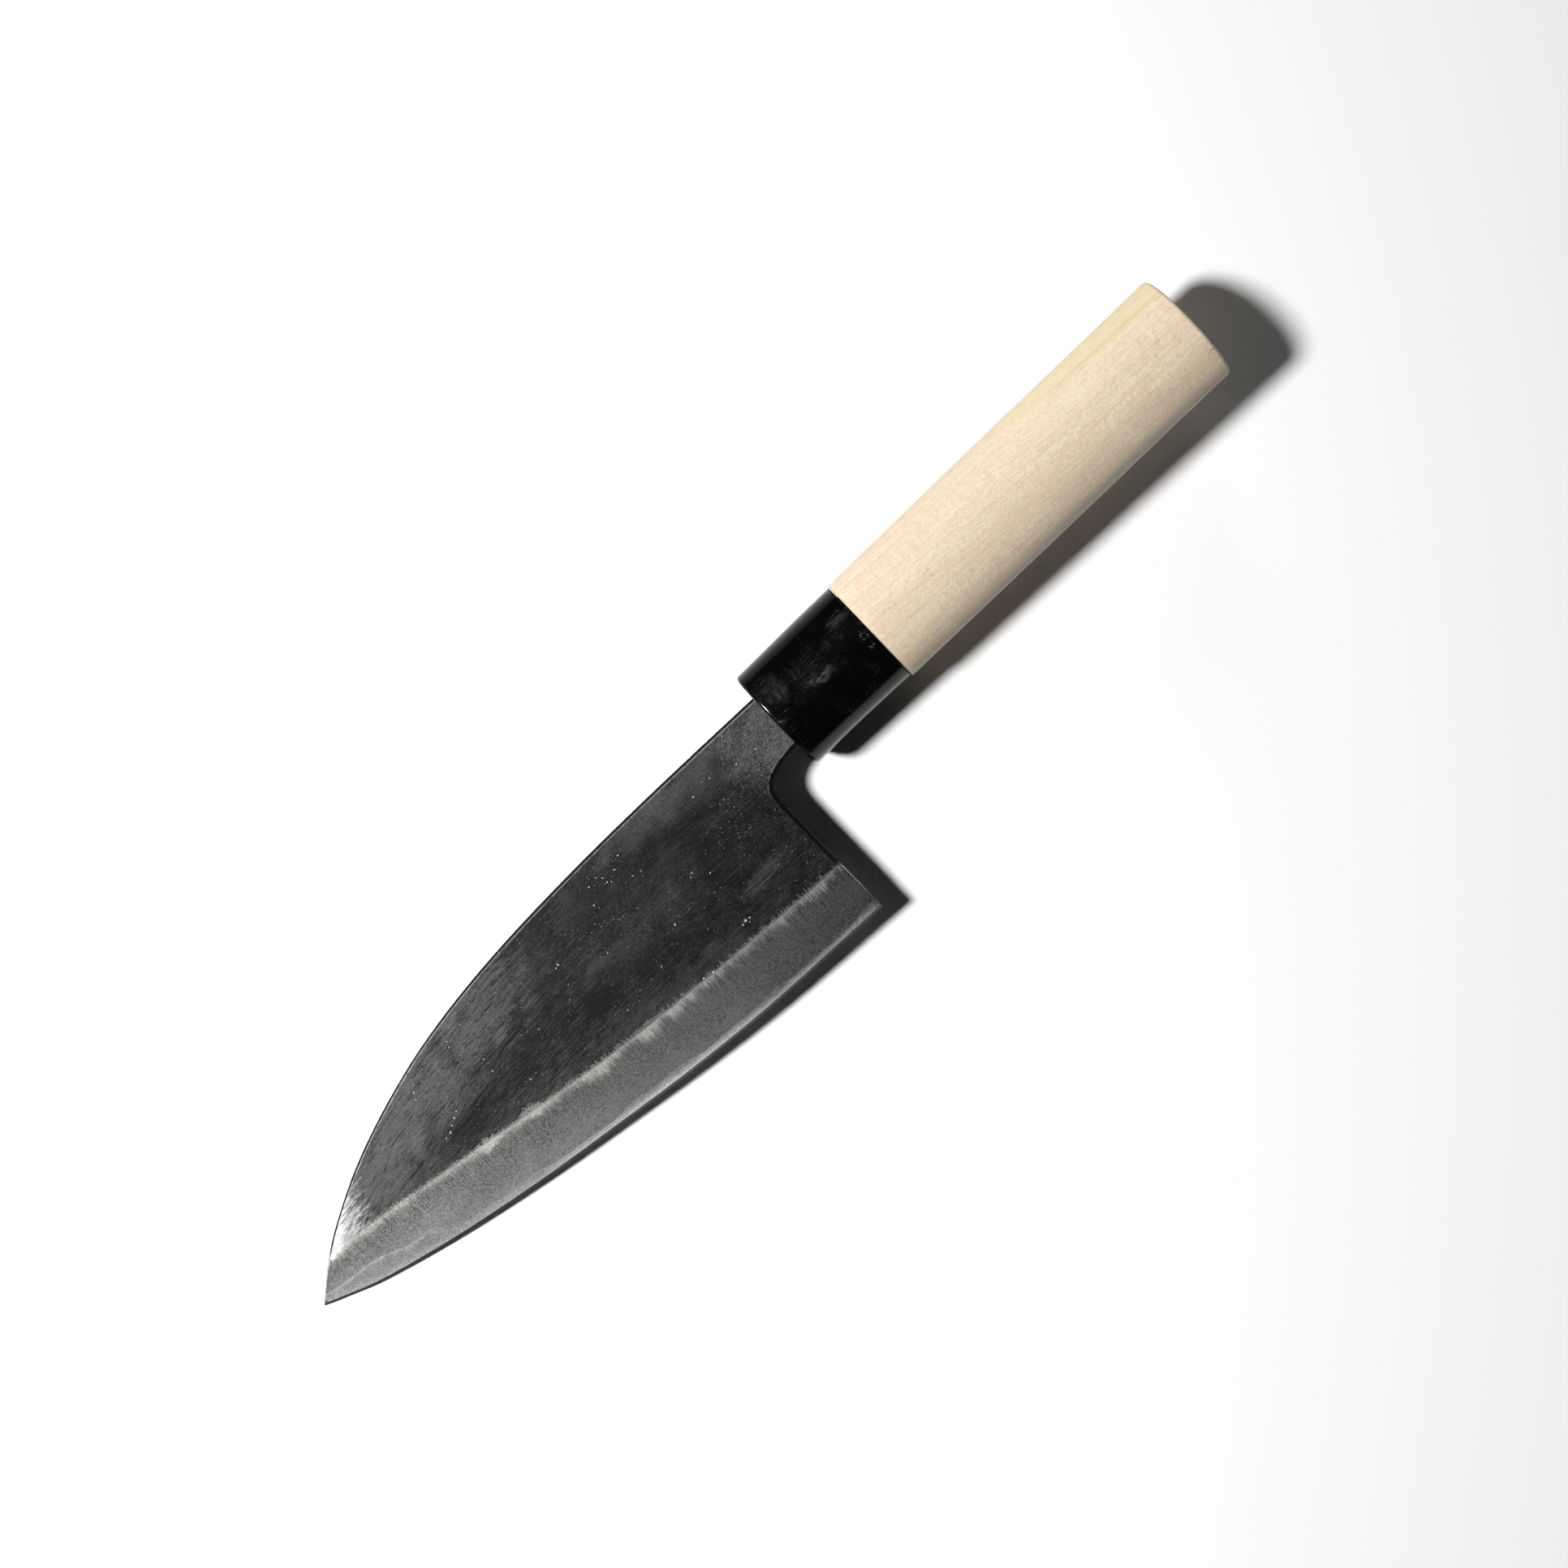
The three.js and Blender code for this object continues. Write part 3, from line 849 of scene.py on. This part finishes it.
def ferrule_look():
    n = Look("polished_black_resin")
    x, y, _ = n.split()
    wisp = n.noise((1.5, 0.4, 0.4), at=(2, 1, 0), detail=4, rough=0.7, bend=0.8)
    broad = n.noise((0.16, 0.3, 0.2), at=(5, 2, 0), detail=2)
    upper = n.times(n.fit(n.math("ABSOLUTE", n.math("ADD", y, 2.4)), 6.0, 1.5),
                    n.fit(x, -26, -19, 0.35, 1.0))
    smear = n.times(n.fit(wisp, 0.42, 0.72), n.fit(broad, 0.36, 0.62))
    smear = n.times(smear, n.most([upper, 0.12]))
    wiped = n.times(n.patch(-4.6, -4.6, 3.2, 3.4), n.fit(wisp, 0.3, 0.7, 0.25, 1.0))
    dust = n.fit(n.noise(3.6, at=(2, 2, 2), detail=2), 0.735, 0.775)
    hair = n.noise((0.12, 7, 7), at=(1, 3, 0), detail=2)
    rubs = n.times(n.line(hair, 0.53, 0.03), n.patch(-24.8, -6.6, 3.4, 1.6, 0, 0.2))
    scratch = n.times(n.line(hair, 0.56, 0.006), n.fit(n.noise(0.16, at=(7, 1, 0)), 0.5, 0.64))
    crumbs = n.fit(n.noise(2.3, at=(1, 6, 3), detail=4, rough=0.65), 0.56, 0.66)
    nick = n.times(crumbs, n.most([n.patch(-27.0, -0.2, 1.7, 1.6),
                                   n.patch(-26.2, 2.6, 0.9, 0.8)]))
    rim = n.times(crumbs, n.fit(x, JOINT_AT + 0.5, JOINT_AT + 0.1))
    worn = n.most([dust, rubs, scratch, nick, rim])
    rough = n.plus((smear, 0.13), (wiped, 0.09), (0.135, 1.0))
    rough = n.blend(worn, rough, 0.5)
    colour = n.mix(n.most([smear, wiped]), 0.0012, 0.010)
    colour = n.mix(n.times(worn, 0.55), colour, 0.11)
    height = n.plus((scratch, -0.5), (nick, -2.0), (rim, -2.0), (rubs, -0.4), (broad, 0.8))
    n.shader.inputs["IOR"].default_value = 1.35
    # It reflects less in a narrow band on the spine's side, and not at all on its back rim.
    dull = n.most([n.fit(y, -12.7, -10.3, 0.5, 0.12), n.fit(y, -10.1, -9.0, 0.0, 0.5)])
    dull = n.times(dull, n.fit(x, JOINT_AT + 0.1, JOINT_AT + 0.4))
    n.put(n.shader.inputs["Specular IOR Level"], dull)
    return n.finish(colour, rough, height=height, depth=0.01)


def scale_parts(n, seed):
    """Colour, roughness, metal and height of the forge scale on the flat."""
    x, y, z = n.split()
    at = (seed * 13.7, seed * 5.1, 0)
    # The brushing runs along the blade and dips to the edge in the front half.
    lean = n.times(n.fit(x, 55, 150, 0.0, 1.0, False), n.times(x, 0.075))
    brushed = n.join(x, n.math("SUBTRACT", y, lean), z)
    cloud = n.noise((0.06, 0.10, 0.1), at=at, detail=4, rough=0.6, bend=0.6)
    blot = n.noise((0.28, 0.42, 0.3), at=at, detail=4, rough=0.7)
    brush = n.noise((0.32, 2.9, 1), brushed, at=at, detail=2, rough=0.8)
    groove = n.noise((0.05, 1.3, 1), brushed, at=(4, seed, 0), detail=3, rough=0.6)
    grit = n.noise((2.4, 2.6, 1), at=at, detail=1, rough=0.9)
    lump = n.noise((1.0, 1.3, 1), at=at, detail=1, rough=0.8)
    # The scale's lightness: its own uneven tone with painted sheen included.
    light = n.fact("tone_and_sheen")
    # Light scale shows its texture more.
    contrast = n.math("MULTIPLY_ADD", light, 0.6, 0.40)
    uneven = n.plus((n.swing(cloud, 0.2), 0.22), (n.swing(blot, 0.2), 0.24))
    fine = n.plus((n.times(n.swing(brush), n.fit(x, 50, 75, 0.45, 2.1)), 1.0),
                  (n.times(n.swing(grit), n.fit(x, 20, 7, 1.15, 1.7)), 1.0),
                  (n.times(n.swing(lump, 0.2), n.fit(x, 20, 7, 0.25, 1.1)), 1.0))
    light = n.math("MULTIPLY_ADD", fine, contrast, n.math("ADD", light, uneven))
    deep = n.times(n.fit(groove, 0.56, 0.7), n.fit(x, 60, 90, 0.08, 0.5))
    light = n.math("SUBTRACT", light, deep)
    scuff = n.most([n.patch(*place, 0.35) for place in SCUFFS[seed]])
    scuff = n.times(scuff, n.fit(brush, 0.4, 0.62, 0.15, 1.0))
    light = n.math("MULTIPLY_ADD", scuff, 0.6, light)
    light = n.most([n.math("MINIMUM", light, LIGHTEST - 0.1), DARKEST])
    colour = n.mix(n.fit(light, DARKEST, LIGHTEST, soft=False), (0.0005, 0.0005, 0.0005),
                   (0.0560, 0.0556, 0.0545))
    rough = n.fit(light, DARKEST, 1.0, 0.245, 0.44, False)
    scratch = n.fit(n.noise((0.11, 4.6, 1), brushed, at=(6, seed, 0), detail=1), 0.62, 0.78)
    # Tiny bright specks, thickest near the neck: small raised chips whose highlight is also
    # painted into the colour; and pits, dented so they catch a bright and a dark side, with a
    # painted highlight in the colour of each.
    crowd = n.fit(n.noise((0.05, 0.08, 0.1), at=(seed, 8, 2)), 0.35, 0.65, 0.02, -0.03)
    crowd = n.plus((crowd, 1.0), (n.patch(20, 8, 12, 8), 0.045), (-0.027, 1.0))
    chips = n.fit(n.math("ADD", n.noise(2.3, at=(3, seed, 3), detail=1), crowd), 0.69, 0.74)
    pit = n.fit(n.fact("pit"), 0.1, 0.6)
    bright = n.most([n.times(chips, 0.55), n.times(scratch, 0.10), n.times(pit, 0.35)])
    colour = n.mix(bright, colour, 0.22)
    rough = n.blend(pit, rough, 0.36)
    height = n.plus((brush, 0.10), (grit, 0.30), (n.times(lump, n.fit(x, 20, 8)), 2.6),
                    (n.times(blot, n.fit(x, 8, 20, 3.5, 0.4)), 1.0),
                    (scratch, -0.1), (chips, 0.4))
    return colour, rough, n.times(bright, 0.2), height


def steel_parts(n, seed, bright):
    """Colour, roughness and height of bare steel: satin, with fine grinding across the bevel."""
    x = n.split()[0]
    at = (seed * 7.3, 2, 0)
    edge = n.fact("edge")
    grind = n.noise((2.9, 0.22, 0.5), at=at, detail=2, rough=0.7)
    satin = n.noise((2.7, 3.1, 1), at=at, detail=1, rough=0.9)
    coarse = n.noise((0.8, 1.1, 1), at=at, detail=2, rough=0.7)
    cloud = n.noise((0.07, 0.16, 0.2), at=at, detail=4)
    scratch = n.fit(n.noise((0.10, 4.2, 1), at=(6, seed, 0), detail=1), 0.66, 0.80)
    chips = n.fit(n.noise(1.9, at=(3, seed, 1), detail=2), 0.70, 0.76)
    near = n.fit(n.fact("ridge"), 7.0, 1.0, 0.12, 1.0)
    level = n.plus((n.swing(cloud, 0.2), 0.10), (n.swing(satin), 0.44),
                   (n.swing(coarse), 0.10), (bright, 1.0))
    lines = n.times(n.swing(grind, 0.2), near)
    # Lighter towards the edge over its last few mm: partly the polished steel there, partly
    # painted sheen.
    edge_polish_and_sheen = n.times(n.fit(edge, 2.4, 0.4), n.fit(x, 65, 125, 1.0, 0.3))
    level = n.plus((lines, 0.25), (level, 1.0), (n.times(edge_polish_and_sheen, 0.28), 1.0),
                   (n.times(n.fit(edge, 8.0, 2.0), n.fit(x, 35, 65)), 0.10),
                   (n.times(near, n.fit(x, 55, 80)), -0.055))
    colour = n.mix(level, (0.0, 0.0, 0.0), (1.0, 1.0, 0.985))
    colour = n.mix(n.plus((scratch, 0.07), (chips, 0.2)), colour, 0.8)
    rough = n.plus((edge_polish_and_sheen, 0.085), (0.285, 1.0))
    height = n.plus((lines, 0.25), (satin, 0.15), (scratch, -0.1))
    return colour, rough, height


def cladding_look(name, seed):
    n = Look(name)
    x, y, _ = n.split()
    ridge = n.fact("ridge")
    flat = scale_parts(n, seed)
    bevel = steel_parts(n, seed, n.fit(x, 18, 50, 0.31, 0.39))
    # The ground ridge bites raggedly into the scale, and its fresh metal fades down the bevel.
    along = n.join(x, n.times(ridge, n.fit(x, 70, 100, 0.25, 2.6)), 0.0)
    hairs = n.noise((2.6, 0.9, 0), along, at=(seed, 0, 0), detail=2, rough=0.8)
    lumps = n.noise((0.13, 0, 0), along, at=(seed, 4, 0), detail=4, rough=0.65)
    bare_spots = n.most([n.patch(*place, 0.6) for place in GROUND[seed]])
    tall = n.times(n.fit(hairs, 0.42, 0.74), n.fit(x, 70, 105, 1.4, 1.0))
    reach = n.plus((tall, 1.0), (n.times(bare_spots, n.fit(hairs, 0.3, 0.6)), 1.5),
                   (n.fit(x, 60, 110, 0.5, 0.2), 1.0))
    bare = n.fit(n.math("ADD", ridge, reach), n.fit(x, 60, 100, -0.1, -0.45),
                 n.fit(x, 60, 100, 0.6, 0.9))
    patchy = n.times(n.fit(lumps, 0.35, 0.66), n.fit(x, 85, 100, 2.3, 0.9))
    depth = n.plus((patchy, 1.0), (n.fit(hairs, 0.3, 0.7), 0.9), (0.25, 1.0),
                   (n.times(bare_spots, n.fit(x, 70, 90)), 1.6), (n.fit(x, 56, 66), 0.5))
    fringe = n.times(bare, n.fit(n.math("SUBTRACT", depth, ridge), -0.4, 2.6))
    fringe = n.times(fringe, n.fit(hairs, 0.3, 0.62, 0.5, 1.0))
    above = n.mix(n.fit(x, 60, 110), 0.20, (0.30, 0.296, 0.28))
    below = n.mix(n.fit(x, 40, 80), 0.64, (0.60, 0.585, 0.545))
    fresh = n.mix(n.fit(ridge, -0.35, 0.15), above, below)
    slant = n.join(x, n.math("MULTIPLY_ADD", x, -0.16, y), 0.0)
    strokes = n.noise((0.35, 1.8, 0), slant, at=(seed, 9, 0), detail=3, rough=0.7)
    # The worn patch before the tip: where it starts slants across the flat.
    start = n.plus((x, 0.93), (y, -0.36), (n.fit(strokes, 0.3, 0.7), 7.0))
    tip = n.times(n.fit(start, 126.5, 136.0), n.fit(ridge, 1.0, -0.4))
    bare = n.most([bare, n.times(tip, 0.9)])
    colour = n.mix(bare, flat[0], bevel[0])
    colour = n.mix(n.times(tip, n.fit(strokes, 0.3, 0.7, 0.15, 0.5)), colour, 0.8)
    colour = n.mix(n.times(fringe, n.fit(ridge, -0.35, 0.15, 0.95, 0.75)), colour, fresh)
    rough = n.blend(bare, flat[1], bevel[1])
    rough = n.math("MULTIPLY_ADD", n.times(fringe, n.fit(ridge, -0.3, 0.2)), 0.09, rough)
    metal = n.most([flat[2], bare])
    height = n.blend(bare, flat[3], bevel[2])
    # Untouched black scale on the rounded rims, its reflection cut down to stand in for the
    # shade the rims mirror, and a painted highlight: a thin broken bright line on the spine's
    # rounding, where the key light glints.
    # Noise that frays the rims and breaks up their painted highlights.
    worn = n.noise((0.9, 0.9, 0.9), at=(seed, 2, 5), detail=4, rough=0.7)
    spine, neck = n.fact("spine"), n.fact("neck")
    upper = n.fit(y, 34, 30)
    ragged = n.math("MULTIPLY_ADD", n.swing(worn, 0.2), 0.5, neck)
    back = n.math("DIVIDE", spine, n.fit(x, 60, 120, 1.25, 1.0))
    rim = n.most([n.times(n.fit(back, 0.50, 0.36), n.fit(x, 156, 150)),
                  n.times(n.fit(ragged, 1.3, 1.02), upper)])
    colour = n.mix(rim, colour, 0.0035)
    metal = n.times(metal, n.math("SUBTRACT", 1.0, rim))
    rough = n.blend(rim, rough, 0.55)
    n.put(n.shader.inputs["Specular IOR Level"], n.fit(rim, 0.0, 1.0, 0.5, 0.08))
    # Painted highlight: the thin bright line along the spine's rounding.
    glint = n.times(n.line(back, 0.60, 0.18), n.fit(worn, 0.38, 0.54, 0.25, 1.0))
    glint = n.times(glint, n.fit(x, 90, 120, 0.6, 1.0))
    # Painted highlight: a thin light line just inside the neck's rim, near the ferrule.
    inner = n.times(n.times(n.line(neck, 1.3, 0.14), n.fit(y, 14, 9)),
                    n.fit(worn, 0.42, 0.6, 0.1, 0.55))
    colour = n.mix(n.most([glint, inner]), colour, 0.30)
    # Painted highlights: tiny light specks over the dark rims.
    specks = n.fit(n.noise(1.8, at=(seed, 3, 3), detail=1), 0.70, 0.75)
    colour = n.mix(n.times(specks, n.times(rim, 0.7)), colour, 0.15)
    return n.finish(colour, rough, metal, height, 0.02)


def core_look():
    n = Look("carbon_steel_core")
    x = n.split()[0]
    steel = n.fact("steel")
    colour, rough, height = steel_parts(n, 5, n.fit(x, 18, 50, 0.31, 0.41))
    line = n.times(n.fit(steel, 0.9, 0.0), n.fit(x, 90, 122, 0.03, 0.09))
    colour = n.mix(line, colour, 0.8)
    blue = n.times(n.fit(steel, 0.3, 1.6), n.fit(x, 80, 120, 0.1, 0.2))
    colour = n.mix(blue, colour, (0.93, 0.97, 1.0), "MULTIPLY")
    hidden = n.fit(steel, 0.0, -0.5)
    colour = n.mix(hidden, colour, (0.012, 0.012, 0.011))
    metal = n.math("SUBTRACT", 1.0, n.times(hidden, 0.9))
    n.put(n.shader.inputs["Specular IOR Level"], n.fit(hidden, 0.0, 1.0, 0.5, 0.08))
    return n.finish(colour, n.blend(hidden, rough, 0.45), metal, height, 0.012)


for piece, look in ((LEFT, cladding_look("forge_scale_left_face", 1)),
                    (RIGHT, cladding_look("forge_scale_right_face", 2)),
                    (CORE_PIECE, core_look()), (FERRULE, ferrule_look()),
                    (HANDLE, wood_look())):
    piece.data.materials.append(look)


# ---------------------------------------------------------------- stage

# On the floor, in metres: the picture's middle, and the point that the lights face.
VIEW_AT, LIGHTS_AT = (-0.01096, -0.00478), (-0.011, -0.005, 0.0)
# Directions on the floor that point right and up in the picture.
VIEW_RIGHT, VIEW_UP = (-0.7227, 0.6912, 0), (-0.6912, -0.7227, 0)
# How light the surroundings are, as they light the knife and as the camera sees them.
ROOM, BACKDROP = 0.012, 0.9
# Between these distances from the knife, in mm, the floor turns from lit to glowing.
FLOOR_FADE = (350, 1400)


def plain_floor():
    bm = bmesh.new()
    bmesh.ops.create_circle(bm, cap_ends=True, segments=96, radius=40)
    mesh = bpy.data.meshes.new("floor")
    bm.to_mesh(mesh)
    bm.free()
    floor = placed("floor", mesh)
    n = Look("pale_floor")
    # Away from the knife the floor glows, so that it stays as pale as it is near it.
    far = n.vector("DISTANCE", n.mm, (0, 0, 0))
    n.put(n.shader.inputs["Emission Strength"], n.fit(far, *FLOOR_FADE, 0.0, 0.85))
    n.shader.inputs["Emission Color"].default_value = (1, 1, 1, 1)
    n.shader.inputs["Specular IOR Level"].default_value = 0.1
    mesh.materials.append(n.finish(n.mix(n.fit(far, *FLOOR_FADE), 0.8, 0.05), 0.8))


def soft_light(name, toward, distance, size, power):
    data = bpy.data.lights.new(name, "AREA")
    data.shape = "DISK"
    data.size = size
    data.energy = power
    ob = placed(name, data)
    away = Vector(toward).normalized()
    ob.location = Vector(LIGHTS_AT) + away * distance
    ob.rotation_euler = away.to_track_quat("Z", "Y").to_euler()
    return ob


def sky():
    world = bpy.data.worlds.new("studio")
    world.use_nodes = True
    tree = world.node_tree
    tree.nodes.clear()
    out = tree.nodes.new("ShaderNodeOutputWorld")
    mix = tree.nodes.new("ShaderNodeMixShader")
    room = tree.nodes.new("ShaderNodeBackground")
    seen = tree.nodes.new("ShaderNodeBackground")
    room.inputs[0].default_value = (ROOM, ROOM, ROOM, 1)
    seen.inputs[0].default_value = (BACKDROP, BACKDROP, BACKDROP, 1)
    path = tree.nodes.new("ShaderNodeLightPath")
    tree.links.new(path.outputs["Is Camera Ray"], mix.inputs[0])
    tree.links.new(room.outputs[0], mix.inputs[1])
    tree.links.new(seen.outputs[0], mix.inputs[2])
    tree.links.new(mix.outputs[0], out.inputs[0])
    bpy.context.scene.world = world


def look_down(height, lens):
    """The camera, straight above the knife."""
    data = bpy.data.cameras.new("camera")
    data.sensor_width = 36
    data.lens = lens
    data.clip_end = 200
    ob = placed("camera", data)
    right, up = Vector(VIEW_RIGHT), Vector(VIEW_UP)
    axes = Matrix((right, up, right.cross(up))).transposed().to_4x4()
    ob.matrix_world = Matrix.Translation((*VIEW_AT, height)) @ axes
    bpy.context.scene.camera = ob


plain_floor()
sky()
soft_light("key", (0.62, -0.435, 1), distance=1.1, size=0.19, power=20.8)
soft_light("fill", (-0.75, -1, 0.3), distance=1.3, size=0.6, power=4.0)
# A pale panel behind the knife's edge side, seen only in its reflections.
panel = soft_light("panel", (-0.64, 0.64, 0.42), distance=1.4, size=0.9, power=1.6)
panel.visible_diffuse = False
panel.visible_camera = False
look_down(height=0.6, lens=62.5)
bpy.context.scene.view_settings.view_transform = "Standard"
